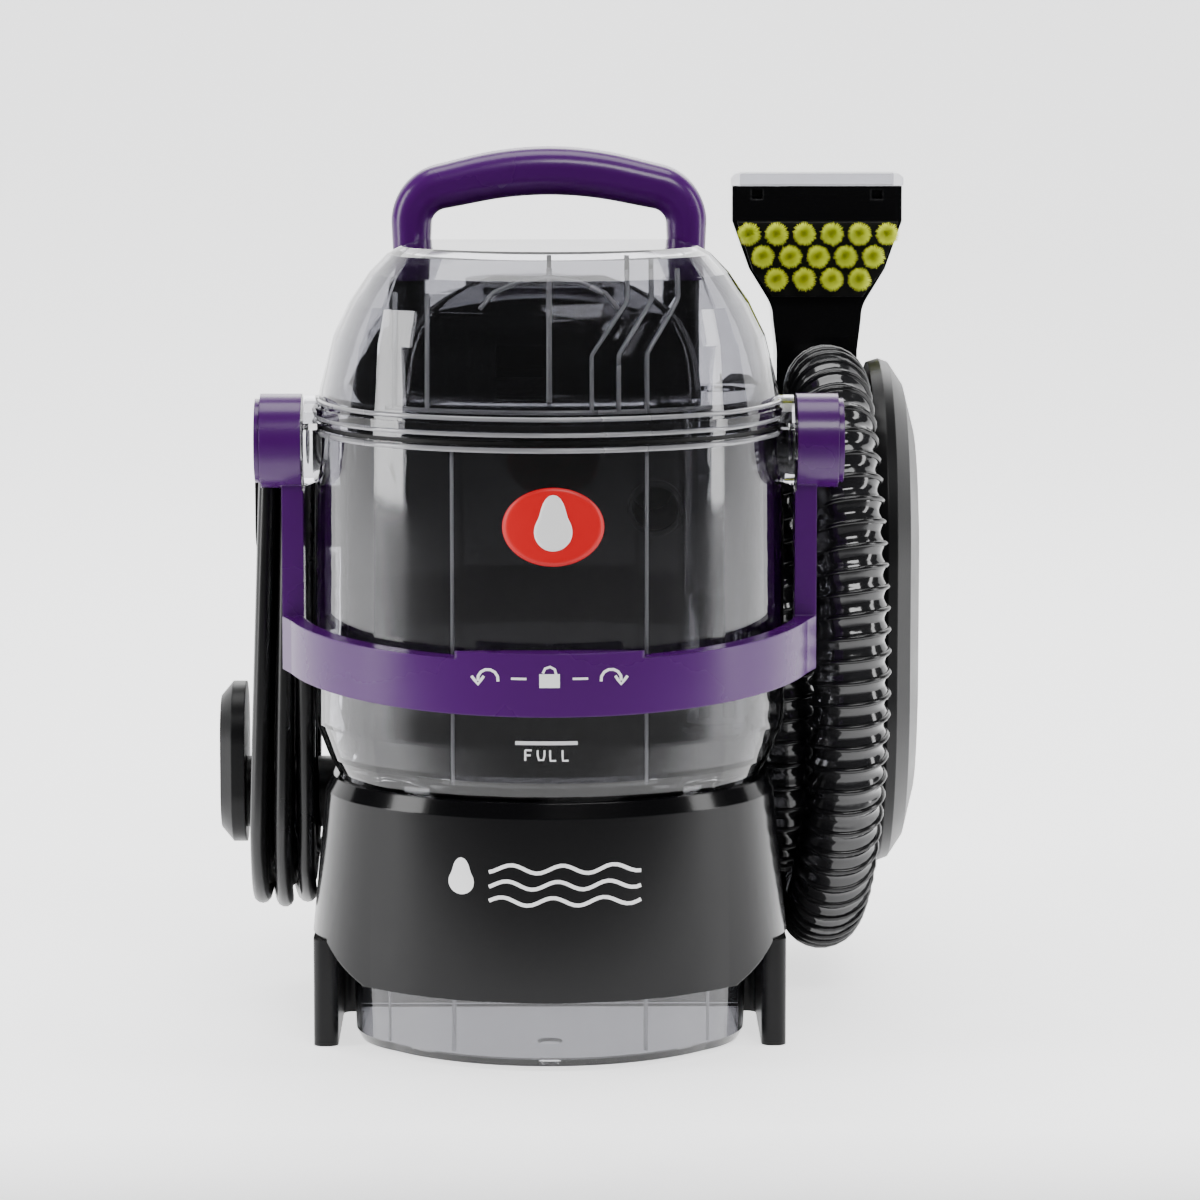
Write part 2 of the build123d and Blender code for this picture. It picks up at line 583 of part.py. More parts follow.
def grip_trigger():
    """The spray trigger on the rear of the grip, hinged at its upper end."""
    blade = block(GRIP_X - 6.2, GRIP_X + 6.2, GRIP_Y + 14.4, GRIP_Y + 19.5, 186, TRIGGER_Z + 2.6)
    blade = fillet(blade.edges().filter_by(Axis.X).group_by(Axis.Y)[-1], 2)
    blade += rod_x(2.6, GRIP_X - 6.2, GRIP_X + 6.2, TRIGGER_Y, TRIGGER_Z)
    return blade + rod_x(1.5, GRIP_X - 8.4, GRIP_X + 8.4, TRIGGER_Y, TRIGGER_Z)


def tool_outline():
    """Front outline of the tool: a wide mouth above a long tapering throat."""
    line = Polyline((GRIP_X - 37.5, LIP_FOOT - 0.2), (GRIP_X - 37.5, 319), (GRIP_X - 30, 298),
                    (GRIP_X - 22, 285))
    line += ThreePointArc((GRIP_X - 22, 285), (GRIP_X - 20.2, 281), (GRIP_X - 19.5, 276))
    line += Polyline((GRIP_X - 19.5, 276), (GRIP_X - 17.8, 262), (GRIP_X - 17.8, 234), (GRIP_X + 17.8, 234),
                     (GRIP_X + 17.8, 262), (GRIP_X + 19.5, 276))
    line += ThreePointArc((GRIP_X + 19.5, 276), (GRIP_X + 20.2, 281), (GRIP_X + 22, 285))
    line += Polyline((GRIP_X + 22, 285), (GRIP_X + 30, 298), (GRIP_X + 37.5, 319),
                     (GRIP_X + 37.5, LIP_FOOT - 0.2),
                     (GRIP_X - 37.5, LIP_FOOT - 0.2))
    return line


def tool_body():
    """The stain tool's black body, a hollow fan that pushes over the grip's neck."""
    fan = slab(Plane.XZ, tool_outline(), -GRIP_Y - 17, -GRIP_Y + 17)
    wedge = Polyline((GRIP_Y - 12, 340), (GRIP_Y - 12, 330), (GRIP_Y - 17, 268), (GRIP_Y - 17, 220),
                     (GRIP_Y + 17, 220), (GRIP_Y + 17, 262), (GRIP_Y + 2, 330), (GRIP_Y + 2, 340),
                     close=True)
    fan &= slab(Plane.YZ, wedge, GRIP_X - 60, GRIP_X + 60)
    fan -= loft([Pos(GRIP_X, GRIP_Y, 230) * Rectangle(32.1, 27.1),
                 Pos(GRIP_X, GRIP_Y, 247) * Rectangle(28.5, 23.5),
                 Pos(GRIP_X, GRIP_Y - 1, 282) * Rectangle(33, 18),
                 Pos(GRIP_X, GRIP_Y - 5, 326) * Rectangle(66, 6),
                 Pos(GRIP_X, GRIP_Y - 5, 337) * Rectangle(68, 6)], ruled=True)
    fan -= both_sides(lambda side: block(GRIP_X + side * 24, GRIP_X + side * 29, GRIP_Y - 13, GRIP_Y - 6,
                                         328.6, 332.6))
    return fan - block(GRIP_X - 6.2, GRIP_X + 6.2, GRIP_Y - 30, GRIP_Y - 14, 239, 260)


def tool_window():
    """The clear suction lip at the tool's mouth."""
    lip = Polyline((GRIP_X - 38.2, LIP_FOOT), (GRIP_X - 38.2, TOOL_TOP - 2), (GRIP_X - 36, TOOL_TOP),
                   (GRIP_X + 36, TOOL_TOP), (GRIP_X + 38.2, TOOL_TOP - 2), (GRIP_X + 38.2, LIP_FOOT),
                   close=True)
    window = slab(Plane.XZ, lip, -GRIP_Y - 2.4, -GRIP_Y + 12.4)
    return window - block(GRIP_X - 34, GRIP_X + 34, GRIP_Y - 8, GRIP_Y - 2, LIP_FOOT - 1, TOOL_TOP + 1)


def brush_plate():
    """The plate that carries the bristle tufts, on the tool's front."""
    plate = Polyline((GRIP_X - 35.5, 319), (GRIP_X - 28.5, 297.5), (GRIP_X - 20, 286), (GRIP_X + 20, 286),
                     (GRIP_X + 28.5, 297.5), (GRIP_X + 35.5, 319), close=True)
    slope = Polyline((GRIP_Y - 20.5, 320), (GRIP_Y - 20.5, 285), (GRIP_Y - 15.9, 285),
                     (GRIP_Y - 13.1, 320), close=True)
    return slab(Plane.XZ, plate, -GRIP_Y, -GRIP_Y + 30) & slab(Plane.YZ, slope, GRIP_X - 60, GRIP_X + 60)


TUFT_ROWS = [(6, 314.0), (5, 304.0), (4, 294.0)]
TUFT_PITCH = 12.2


def brush_tufts():
    """Bristle tufts in three staggered rows, as plain plugs."""
    tufts = []
    for count, z in TUFT_ROWS:
        for i in range(count):
            x = GRIP_X + (i - (count - 1) / 2) * TUFT_PITCH
            tufts.append(rod_y(4.4, x, GRIP_Y - 32, GRIP_Y - 20.6, z))
    return group(tufts)


def release_button():
    """The latch button on the tool's throat."""
    return block(GRIP_X - 5.8, GRIP_X + 5.8, GRIP_Y - 18.6, GRIP_Y - 16.2, 239.4, 259.6)


# --- cord side --------------------------------------------------------------------------------------------
COIL_Y = -6.0  # middle of the cord's winding
HOOK_LOW_Z = 88.0
HOOK_HIGH_Z = 205.0


def tall_oval(x, height, width, z):
    """An upright oval with round ends in the plane at x."""
    return Plane.YZ.offset(x) * Pos(COIL_Y, z) * SlotOverall(height, width, rotation=90)


def oval_plate(x0, x1, height, width, z):
    return extrude(tall_oval(x0, height, width, z), x1 - x0)


def cord_bracket():
    """The plate on the machine's left side that carries both cord hooks."""
    return oval_plate(COLUMN_LEFT - 3.2, COLUMN_LEFT - 0.2, 188, 56, 147) - rod_x(5.06, -95, -80, COIL_Y,
                                                                                  HOOK_HIGH_Z)


def lower_hook():
    """The fixed hook, with a wide bevelled cheek that holds the cord in."""
    arm = oval_plate(-128, COLUMN_LEFT - 3.4, 30, 26, HOOK_LOW_Z)
    cheek = loft([tall_oval(-138, 56, 34, 101), tall_oval(-133, 68, 46, 101),
                  tall_oval(-127.4, 68, 46, 101)],
                 ruled=True)
    return arm + cheek


def upper_hook():
    """The quick-release hook: it turns half way round to let the whole winding slip off."""
    hook = oval_plate(-122.6, COLUMN_LEFT - 3.4, 26, 22, HOOK_HIGH_Z)
    hook += oval_plate(-122.6, -119.2, 40, 22, HOOK_HIGH_Z + 7)
    return hook + rod_x(5, -91, COLUMN_LEFT - 0.4, COIL_Y, HOOK_HIGH_Z)


def power_cord_coil():
    """The outer shape of the wound cord: a tall loop over both hooks that leans out lower down."""
    outside = loft([tall_oval(-127, 112, 82, 101), tall_oval(-119.1, 136, 90, 109),
                    tall_oval(-118.5, 210, 90, 146),
                    tall_oval(-96.5, 210, 90, 146)], ruled=True)
    return outside - oval_plate(-130, -90, 150, 30, 146)


LEAD_ROUTE = [(-92, 74, 56), (-92, 58, 56), (-96, 38, 53), (-103, 18, 50)]


def power_cord_lead():
    """The free stretch from the gland to the winding."""
    return tube_along(LEAD_ROUTE, CORD_D) - power_cord_coil()


def cord_gland():
    """The tapered strain relief and its foot, where the cord leaves the base."""
    foot = block(-95.5, -86, 88, 100, 44.2, 64)
    sleeve = loft([Plane.XZ.offset(-88) * Pos(-92, 56) * Circle(6.4),
                   Plane.XZ.offset(-66) * Pos(-92, 56) * Circle(4.4)])
    return foot + sleeve - rod_y(CORD_D / 2, -92, 60, 74, 56)


PLUG_X = -106.0
PLUG_Y = 49.0


def power_plug():
    """The moulded plug, parked behind the winding with its pins down."""
    body = rounded_block(PLUG_X - 12, PLUG_X + 12, PLUG_Y - 8, PLUG_Y + 8, 150, 182, 6)
    relief = loft([Pos(PLUG_X, PLUG_Y, 182) * Circle(7), Pos(PLUG_X, PLUG_Y, 208) * Circle(4.6)])
    return body + relief - rod_z(CORD_D / 2 + 0.02, PLUG_X, PLUG_Y, 196, 212)


def plug_pins():
    return group([block(PLUG_X + s * 6.35 - 0.75, PLUG_X + s * 6.35 + 0.75, PLUG_Y - 3.1, PLUG_Y + 3.1,
                        133, 150)
                  for s in (-1, 1)])


PLUG_ROUTE = [(PLUG_X, 22, 241), (PLUG_X, 40, 232), (PLUG_X, PLUG_Y, 217), (PLUG_X, PLUG_Y, 196)]


def power_cord_tail():
    """The free stretch from the top of the winding back and down to the plug."""
    return tube_along(PLUG_ROUTE, CORD_D) - power_cord_coil()


def make_all():
    """Every node's name and solid."""
    return {
        "collection_tank": collection_tank(), "tank_seal": tank_seal(), "lid_dome": lid_dome(),
        "separator_plate": separator_plate(), "air_duct": air_duct(), "float_cage": float_cage(),
        "shutoff_float": shutoff_float(), "bail_handle": bail_handle(), "bail_hub_caps": hub_caps(),
        "base_chassis": base_chassis(), "base_pads": base_pads(), "front_apron": front_apron(),
        "housing_front": housing_front(), "housing_rear": housing_rear(), "top_cover": top_cover(),
        "carry_handle": carry_handle(), "handle_screws": handle_screws(), "motor_can": motor_can(),
        "motor_mounts": motor_mounts(), "motor_tray": motor_tray(), "fan_housing": fan_housing(),
        "fan_rotor": fan_rotor(), "suction_duct": suction_duct(), "water_pump": water_pump(),
        "pump_outlet": pump_outlet(), "circuit_board": circuit_board(), "switch_frame": switch_frame(),
        "power_button": power_button(), "housing_screws": housing_screws(), "clean_tank": clean_tank(),
        "clean_tank_cap": clean_tank_cap(), "tank_valve": tank_valve(), "tank_dock": tank_dock(),
        "hose_core": hose_core(), "hose_flange": hose_flange(), "outlet_elbow": outlet_elbow(),
        "flex_hose": flex_hose(), "tool_holder": tool_holder(), "grip_body": grip_body(),
        "hose_cuff": hose_cuff(), "grip_trigger": grip_trigger(), "tool_body": tool_body(),
        "tool_window": tool_window(), "brush_plate": brush_plate(), "brush_tufts": brush_tufts(),
        "release_button": release_button(), "cord_bracket": cord_bracket(), "lower_hook": lower_hook(),
        "upper_hook": upper_hook(), "power_cord_coil": power_cord_coil(), "cord_gland": cord_gland(),
        "power_cord_lead": power_cord_lead(), "power_cord_tail": power_cord_tail(),
            "power_plug": power_plug(),
        "plug_pins": plug_pins(), "recovery_pipe": recovery_pipe(),
    }


os.makedirs("parts", exist_ok=True)
for name, solid in make_all().items():
    export_step(Pos(*ORIGIN) * solid, f"parts/{name}.step")
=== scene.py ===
"""Looks of the portable spot carpet cleaner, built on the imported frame."""

import json
from math import atan2, cos, exp, pi, radians, sin, sqrt

import bmesh
import bpy
import numpy as np
from mathutils import Matrix, Vector


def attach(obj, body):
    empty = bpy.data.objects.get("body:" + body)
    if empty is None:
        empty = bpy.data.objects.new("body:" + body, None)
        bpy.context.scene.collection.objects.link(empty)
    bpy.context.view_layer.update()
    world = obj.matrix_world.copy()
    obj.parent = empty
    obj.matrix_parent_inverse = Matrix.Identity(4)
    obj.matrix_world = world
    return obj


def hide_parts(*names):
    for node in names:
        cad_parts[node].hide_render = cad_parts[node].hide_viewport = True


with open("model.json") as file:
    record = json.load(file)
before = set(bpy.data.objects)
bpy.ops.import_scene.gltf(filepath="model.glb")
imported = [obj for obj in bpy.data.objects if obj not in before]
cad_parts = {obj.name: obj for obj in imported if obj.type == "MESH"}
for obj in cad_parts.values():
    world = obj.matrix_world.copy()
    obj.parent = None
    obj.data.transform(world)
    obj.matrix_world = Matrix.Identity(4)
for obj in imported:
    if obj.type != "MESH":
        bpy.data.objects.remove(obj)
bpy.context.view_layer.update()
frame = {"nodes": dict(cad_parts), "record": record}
NODES = frame["nodes"]

MM = 0.001
SHIFT = Vector((-9.5, 3.5, 0))  # from the tank's centre plane, which the sizes count from, to the origin


def at(x, y, z):
    """A place given in millimetres from the tank's centre plane, in the frame's metres."""
    return (Vector((x, y, z)) + SHIFT) * MM


# --- camera, lights and floor -----------------------------------------------------------------------------
PICTURE_PX = 1200
FOCAL_PX = 5250.0  # focal length, counted in pixels of a picture that wide
SENSOR = 36  # mm
CAMERA_HEIGHT = 480.0
CAMERA_Y = -2190.0
CAMERA_TARGET = (21.3, 0, 168.4)
SWEEP_Y = 1.6  # where the floor starts to curve up, in metres
SWEEP_BEND = 1.2
FLOOR_GAP = 0.0002  # keeps the floor clear of the foot pads
SWEEP_GLOW = (-0.42, -0.24, 0.03, 1.5)  # from and to along Y in metres, and the glow at each
SWEEP_SHADE = (-0.60, -0.30, 0.28, 1.0)  # the same for the painted shade in the floor's colour, darker in front
SKY_STRENGTH = 0.10


def add_camera():
    """The photo's view: a long lens in front of the machine, a little above it."""
    camera = bpy.data.cameras.new("camera")
    camera.sensor_width = SENSOR
    camera.lens = SENSOR * FOCAL_PX / PICTURE_PX
    camera.clip_start = 0.05
    camera.clip_end = 60
    holder = bpy.data.objects.new("camera", camera)
    holder.location = at(0, CAMERA_Y, CAMERA_HEIGHT)
    target = at(*CAMERA_TARGET)
    holder.rotation_euler = (target - holder.location).to_track_quat("-Z", "Y").to_euler()
    bpy.context.scene.collection.objects.link(holder)
    bpy.context.scene.camera = holder


def add_area_light(name, place, target, size, watts, tint=(1, 1, 1)):
    light = bpy.data.lights.new(name, "AREA")
    light.shape = "RECTANGLE"
    light.size, light.size_y = size
    light.energy = watts
    light.color = tint
    holder = bpy.data.objects.new(name, light)
    holder.location = place
    holder.rotation_euler = (Vector(target) - Vector(place)).to_track_quat("-Z", "Y").to_euler()
    bpy.context.scene.collection.objects.link(holder)


def spread_range(tree, source, ends):
    """The source's value, moved from one range to another, both given in ends."""
    spread = tree.nodes.new("ShaderNodeMapRange")
    for socket, value in zip(("From Min", "From Max", "To Min", "To Max"), ends):
        spread.inputs[socket].default_value = value
    tree.links.new(source, spread.inputs["Value"])
    return spread.outputs["Result"]


def sweep_material():
    """White that glows behind the machine. Painted shade makes it darker in front, so black plastic stays
    black.
    """
    white = plain_material("studio_white", (0.86, 0.86, 0.87), 0.6, 900, 0.0, 0.02)
    tree = white.node_tree
    shader = tree.nodes["Principled BSDF"]
    tones = next(node for node in tree.nodes if node.bl_idname == "ShaderNodeMixRGB")
    place = tree.nodes.new("ShaderNodeTexCoord")
    parts = tree.nodes.new("ShaderNodeSeparateXYZ")
    # painted shade: the floor's colour is multiplied down towards the front
    shaded_tones = tree.nodes.new("ShaderNodeMixRGB")
    shaded_tones.blend_type = "MULTIPLY"
    shaded_tones.inputs["Fac"].default_value = 1.0
    tree.links.new(place.outputs["Object"], parts.inputs["Vector"])
    glow = spread_range(tree, parts.outputs["Y"], SWEEP_GLOW)
    shade = spread_range(tree, parts.outputs["Y"], SWEEP_SHADE)
    tree.links.new(tones.outputs["Color"], shaded_tones.inputs["Color1"])
    tree.links.new(shade, shaded_tones.inputs["Color2"])
    tree.links.new(shaded_tones.outputs["Color"], shader.inputs["Base Color"])
    shader.inputs["Emission Color"].default_value = (1, 1, 1, 1)
    tree.links.new(glow, shader.inputs["Emission Strength"])
    return white


def add_stage():
    """A pale floor that curves up into a backdrop, soft boxes at both sides and above, and a dim sky."""
    mesh = bpy.data.meshes.new("studio_sweep")
    edit = bmesh.new()
    bend = [(SWEEP_Y + SWEEP_BEND * sin(a), SWEEP_BEND - SWEEP_BEND * cos(a))
            for a in np.linspace(0.15, pi / 2, 12)]
    profile = [(-4.0, 0.0), (SWEEP_Y, 0.0)] + bend + [(SWEEP_Y + SWEEP_BEND, 4.5)]
    rows = [[edit.verts.new((x, y, z - FLOOR_GAP)) for y, z in profile] for x in (-6, 6)]
    for i in range(len(profile) - 1):
        edit.faces.new((rows[0][i], rows[1][i], rows[1][i + 1], rows[0][i + 1]))
    edit.to_mesh(mesh)
    edit.free()
    mesh.polygons.foreach_set("use_smooth", [True] * len(mesh.polygons))
    sweep = bpy.data.objects.new("studio_sweep", mesh)
    bpy.context.scene.collection.objects.link(sweep)
    sweep.data.materials.append(sweep_material())
    add_area_light("key_left", (-1.9, -0.6, 0.75), (0, 0, 0.2), (0.6, 1.7), 38)
    add_area_light("key_right", (1.9, -0.4, 0.75), (0, 0, 0.2), (0.4, 1.7), 20)
    add_area_light("front_high", (0.5, -1.5, 1.7), (0, 0, 0.2), (1.2, 0.5), 26)
    add_area_light("top", (0, 0.15, 2.1), (0, 0, 0.1), (1.8, 1.0), 34)
    add_area_light("rear", (0.3, 1.5, 1.2), (0, 0, 0.2), (1.6, 0.8), 12)
    world = bpy.data.worlds.new("studio")
    world.use_nodes = True
    world.node_tree.nodes["Background"].inputs["Color"].default_value = (0.93, 0.94, 0.96, 1)
    world.node_tree.nodes["Background"].inputs["Strength"].default_value = SKY_STRENGTH
    bpy.context.scene.world = world


# --- materials --------------------------------------------------------------------------------------------
def new_material(name):
    material = bpy.data.materials.new(name)
    material.use_nodes = True
    tree = material.node_tree
    return material, tree, tree.nodes["Principled BSDF"]


def noise_node(tree, scale, detail=3.0, stretch=(1, 1, 1)):
    """Noise in the object's own space, as every piece's origin is the frame's."""
    place = tree.nodes.new("ShaderNodeTexCoord")
    mapping = tree.nodes.new("ShaderNodeMapping")
    mapping.inputs["Scale"].default_value = stretch
    noise = tree.nodes.new("ShaderNodeTexNoise")
    noise.inputs["Scale"].default_value = scale
    noise.inputs["Detail"].default_value = detail
    tree.links.new(place.outputs["Object"], mapping.inputs["Vector"])
    tree.links.new(mapping.outputs["Vector"], noise.inputs["Vector"])
    return noise


def ranged(tree, source, low, high):
    """The middle of a noise output, spread over low..high."""
    return spread_range(tree, source, (0.3, 0.7, low, high))


def add_bump(tree, shader, height, distance, strength=1.0, soft_edge=0.0):
    bump = tree.nodes.new("ShaderNodeBump")
    if soft_edge:
        edge = tree.nodes.new("ShaderNodeBevel")
        edge.samples = 4
        edge.inputs["Radius"].default_value = soft_edge
        tree.links.new(edge.outputs["Normal"], bump.inputs["Normal"])
    bump.inputs["Distance"].default_value = distance
    bump.inputs["Strength"].default_value = strength
    tree.links.new(height, bump.inputs["Height"])
    tree.links.new(bump.outputs["Normal"], shader.inputs["Normal"])


def plain_material(name, colour, roughness, grain=1500.0, bump=0.00003, vary=0.12, specular=0.5, coat=0.0,
                   soft_edge=0.0008):
    """Moulded plastic: fine grain in the surface, and slow changes in colour and roughness."""
    material, tree, shader = new_material(name)
    slow = noise_node(tree, 22.0, 4.0)
    tones = tree.nodes.new("ShaderNodeMixRGB")
    tones.inputs["Color1"].default_value = (*[c * (1 - vary) for c in colour], 1)
    tones.inputs["Color2"].default_value = (*[min(1, c * (1 + vary)) for c in colour], 1)
    tree.links.new(slow.outputs["Fac"], tones.inputs["Fac"])
    tree.links.new(tones.outputs["Color"], shader.inputs["Base Color"])
    tree.links.new(ranged(tree, slow.outputs["Fac"], roughness * 0.86, roughness * 1.14),
                   shader.inputs["Roughness"])
    shader.inputs["Specular IOR Level"].default_value = specular
    shader.inputs["Coat Weight"].default_value = coat
    shader.inputs["Coat Roughness"].default_value = 0.06
    if bump:
        fine = noise_node(tree, grain, 2.0)
        add_bump(tree, shader, fine.outputs["Fac"], bump, 1.0, soft_edge)
    return material


def clear_material(name, colour, roughness, ior=1.2, coat=0.6, clearness=1.0):
    """Clear moulded plastic with faint flow waves in its surface."""
    material, tree, shader = new_material(name)
    waves = noise_node(tree, 16.0, 2.0, (1, 1, 0.35))
    shader.inputs["Base Color"].default_value = (*colour, 1)
    shader.inputs["Transmission Weight"].default_value = clearness
    shader.inputs["IOR"].default_value = ior
    shader.inputs["Specular IOR Level"].default_value = 0.5
    shader.inputs["Coat Weight"].default_value = coat
    shader.inputs["Coat Roughness"].default_value = 0.035
    shader.inputs["Coat IOR"].default_value = 1.6
    tree.links.new(ranged(tree, waves.outputs["Fac"], roughness * 0.7, roughness * 1.3),
                   shader.inputs["Roughness"])
    add_bump(tree, shader, waves.outputs["Fac"], 0.0003, 0.35)
    return material


def metal_material(name, colour, roughness):
    """Metal with fine drawn lines."""
    material, tree, shader = new_material(name)
    lines = noise_node(tree, 400.0, 2.0, (1, 1, 0.06))
    shader.inputs["Base Color"].default_value = (*colour, 1)
    shader.inputs["Metallic"].default_value = 1.0
    tree.links.new(ranged(tree, lines.outputs["Fac"], roughness * 0.8, roughness * 1.2),
                   shader.inputs["Roughness"])
    add_bump(tree, shader, lines.outputs["Fac"], 0.00002)
    return material


SMOKE = clear_material("smoke_clear", (0.64, 0.64, 0.67), 0.03)
DOME_SMOKE = clear_material("dome_smoke", (0.50, 0.50, 0.53), 0.04)
SHIELD = clear_material("smoke_shield", (0.40, 0.40, 0.42), 0.06)
# partly a painted highlight: the ribs' frosted plastic is also a lighter diffuse grey, so their edges read
# as catching light
FROST_AND_EDGE_LIGHT = clear_material("smoke_frost_and_edge_light", (0.40, 0.40, 0.42), 0.22, 1.3, 1.0, 0.5)
WATER_CLEAR = clear_material("water_clear", (0.80, 0.82, 0.86), 0.05)
VIOLET = plain_material("violet_gloss", (0.052, 0.0, 0.100), 0.27, 1400, 0.00002, 0.06, 0.36, 0.08)
BLACK_GLOSS = plain_material("black_gloss", (0.0022, 0.0022, 0.0026), 0.13, 700, 0.000008, 0.1, 0.22, 0.04)
BLACK_SATIN = plain_material("black_satin", (0.0034, 0.0034, 0.0038), 0.34, 1300, 0.00003, 0.12, 0.2)
GREY = plain_material("inner_grey", (0.07, 0.07, 0.075), 0.42, 1200, 0.00003)
SOFT_BLACK = plain_material("soft_black", (0.005, 0.005, 0.005), 0.5, 900, 0.00004, 0.12, 0.3)
CORD_BLACK = plain_material("cord_black", (0.004, 0.004, 0.0044), 0.3, 1100, 0.00002, 0.12, 0.42, 0.0, 0.0)
BRISTLE = plain_material("bristle_green", (0.78, 0.95, 0.04), 0.45, 600, 0.00002, 0.25, 0.4, 0.0, 0.0)
STEEL = metal_material("steel", (0.56, 0.56, 0.58), 0.34)
PLATED = metal_material("plated", (0.78, 0.77, 0.72), 0.2)
BOARD = plain_material("board_green", (0.015, 0.12, 0.05), 0.35, 500, 0.00003, 0.3)
WHITE_INK = plain_material("white_ink", (0.90, 0.90, 0.90), 0.45, 900, 0.00001, 0.03, 0.4, 0.0, 0.0)
RED_INK = plain_material("red_ink", (0.62, 0.0, 0.004), 0.38, 900, 0.00001, 0.05, 0.4, 0.0, 0.0)
HOSE_FILM = plain_material("hose_film", (0.010, 0.010, 0.011), 0.13, 300, 0.00002, 0.35, 0.5, 0.25, 0.0)
HOSE_RIB = plain_material("hose_rib", (0.0035, 0.0035, 0.004), 0.24, 700, 0.00002, 0.12, 0.42, 0.0, 0.0)

SLOT_LOOKS = {
    "smoke_clear": SMOKE, "water_clear": WATER_CLEAR, "violet_gloss": VIOLET, "black_gloss": BLACK_GLOSS,
    "black_satin": BLACK_SATIN, "inner_grey": GREY, "hose_film": HOSE_FILM, "soft_black": SOFT_BLACK,
    "cord_black": CORD_BLACK, "bristle_green": BRISTLE, "steel": STEEL, "plated": PLATED,
    "board_green": BOARD,
}
CREASE = 32  # degrees; an edge that turns more than this stays sharp
APRON_CREASE = 14


def dress_frame():
    """Gives every CAD node smooth shading and the look of its slot. The dome gets the darker smoke."""
    for part in frame["record"]["subparts"]:
        node = NODES[part["node"]]
        node.data.materials.clear()
        node.data.materials.append(SLOT_LOOKS[part["material_slot"]])
        node.data.polygons.foreach_set("use_smooth", [True] * len(node.data.polygons))
        crease = APRON_CREASE if part["node"] == "front_apron" else CREASE
        node.data.set_sharp_from_angle(angle=radians(crease))
        if part["node"] == "lid_dome":
            node.data.materials[0] = DOME_SMOKE


# --- building pieces --------------------------------------------------------------------------------------
def finish_piece(name, edit, body, material, smooth=True):
    """A mesh piece from a bmesh, riding on a body."""
    mesh = bpy.data.meshes.new(name)
    bmesh.ops.recalc_face_normals(edit, faces=edit.faces)
    edit.to_mesh(mesh)
    edit.free()
    if smooth:
        mesh.polygons.foreach_set("use_smooth", [True] * len(mesh.polygons))
    piece = bpy.data.objects.new(name, mesh)
    bpy.context.scene.collection.objects.link(piece)
    mesh.materials.append(material)
    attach(piece, body)
    return piece


def route_spline(name, points, radius=0.0, resolution=12):
    """A smooth open NURBS line through the neighbourhood of a given route."""
    curve = bpy.data.curves.new(name, "CURVE")
    curve.dimensions = "3D"
    curve.resolution_u = resolution
    spline = curve.splines.new("NURBS")
    spline.points.add(len(points) - 1)
    for point, place in zip(spline.points, points):
        point.co = (*place, 1)
    spline.order_u = 3
    spline.use_endpoint_u = True
    curve.bevel_depth = radius
    curve.bevel_resolution = 4
    curve.use_fill_caps = radius > 0
    holder = bpy.data.objects.new(name, curve)
    bpy.context.scene.collection.objects.link(holder)
    return holder


def read_line(points, resolution=24):
    """The points of the route's own NURBS spline, evenly spaced, with their distances along it."""
    holder = route_spline("measuring_line", points, 0.0, resolution)
    mesh = bpy.data.meshes.new_from_object(holder)
    line = np.array([v.co for v in mesh.vertices])
    bpy.data.objects.remove(holder)
    along = np.concatenate([[0], np.cumsum(np.linalg.norm(np.diff(line, axis=0), axis=1))])
    return line, along


def evenly(line, along, step):
    """Points along the line, about a step apart."""
    count = max(2, int(round(along[-1] / step)) + 1)
    wanted = np.linspace(0, along[-1], count)
    return np.stack([np.interp(wanted, along, line[:, i]) for i in range(3)], axis=1)


def steady_frames(points):
    """Two unit vectors across the line at each point, turned as little as possible from one to the next."""
    ahead = np.gradient(points, axis=0)
    ahead /= np.linalg.norm(ahead, axis=1)[:, None]
    side = np.cross(ahead[0], (0.3, 0.5, 0.8))
    side /= np.linalg.norm(side)
    sides = []
    for way in ahead:
        side = side - way * (side @ way)
        side = side / np.linalg.norm(side)
        sides.append(side)
    sides = np.array(sides)
    return sides, np.cross(ahead, sides)


def tube_mesh(edit, points, sides, ups, radii, around=24, caps=True):
    """Rings of points round a line, joined into a tube; radii(i, angle) gives the radius."""
    rings = []
    for i, (place, side, up) in enumerate(zip(points, sides, ups)):
        ring = []
        for k in range(around):
            angle = 2 * pi * k / around
            out = radii(i, angle)
            ring.append(edit.verts.new(place + out * (cos(angle) * side + sin(angle) * up)))
        rings.append(ring)
    for a, b in zip(rings, rings[1:]):
        for k in range(around):
            edit.faces.new((a[k], a[(k + 1) % around], b[(k + 1) % around], b[k]))
    if caps:
        edit.faces.new(rings[0])
        edit.faces.new(rings[-1])


# --- suction hose -----------------------------------------------------------------------------------------
HOSE_D = 34.0
HOSE_PITCH = 8.7
GRIP_X = 118.5
GRIP_Y = 143.0
HOSE_ROUTE = [
    (81.5, 106, 58), (81.5, 106, 88), (81.5, 107, 130), (81.5, 106, 172), (81.8, 95, 213), (82.5, 64, 241),
    (83.5, 24, 245), (88, -9, 221), (95, -20, 180), (100, -21, 138), (101, -17, 98), (101, 3, 69),
    (104, 42, 61), (112, 79, 74), (117.2, 99, 106), (117.5, 103, 147), (117.5, 101, 188), (117.2, 85, 226),
    (117.2, 52, 250), (117, 13, 260), (118.5, -24, 248), (121.5, -45, 213), (123.5, -53, 172),
    (123.8, -53, 130), (122, -45, 88), (118.5, -23, 51), (116, 12, 32), (116, 53, 28.5), (117, 94, 32),
    (118.5, 129, 46), (GRIP_X, GRIP_Y, 74), (GRIP_X, GRIP_Y, 100),
]
FILM_STEPS = 6  # rings of film to a turn of the rib
RIB_STEPS = 26  # rings of the rib to its own turn


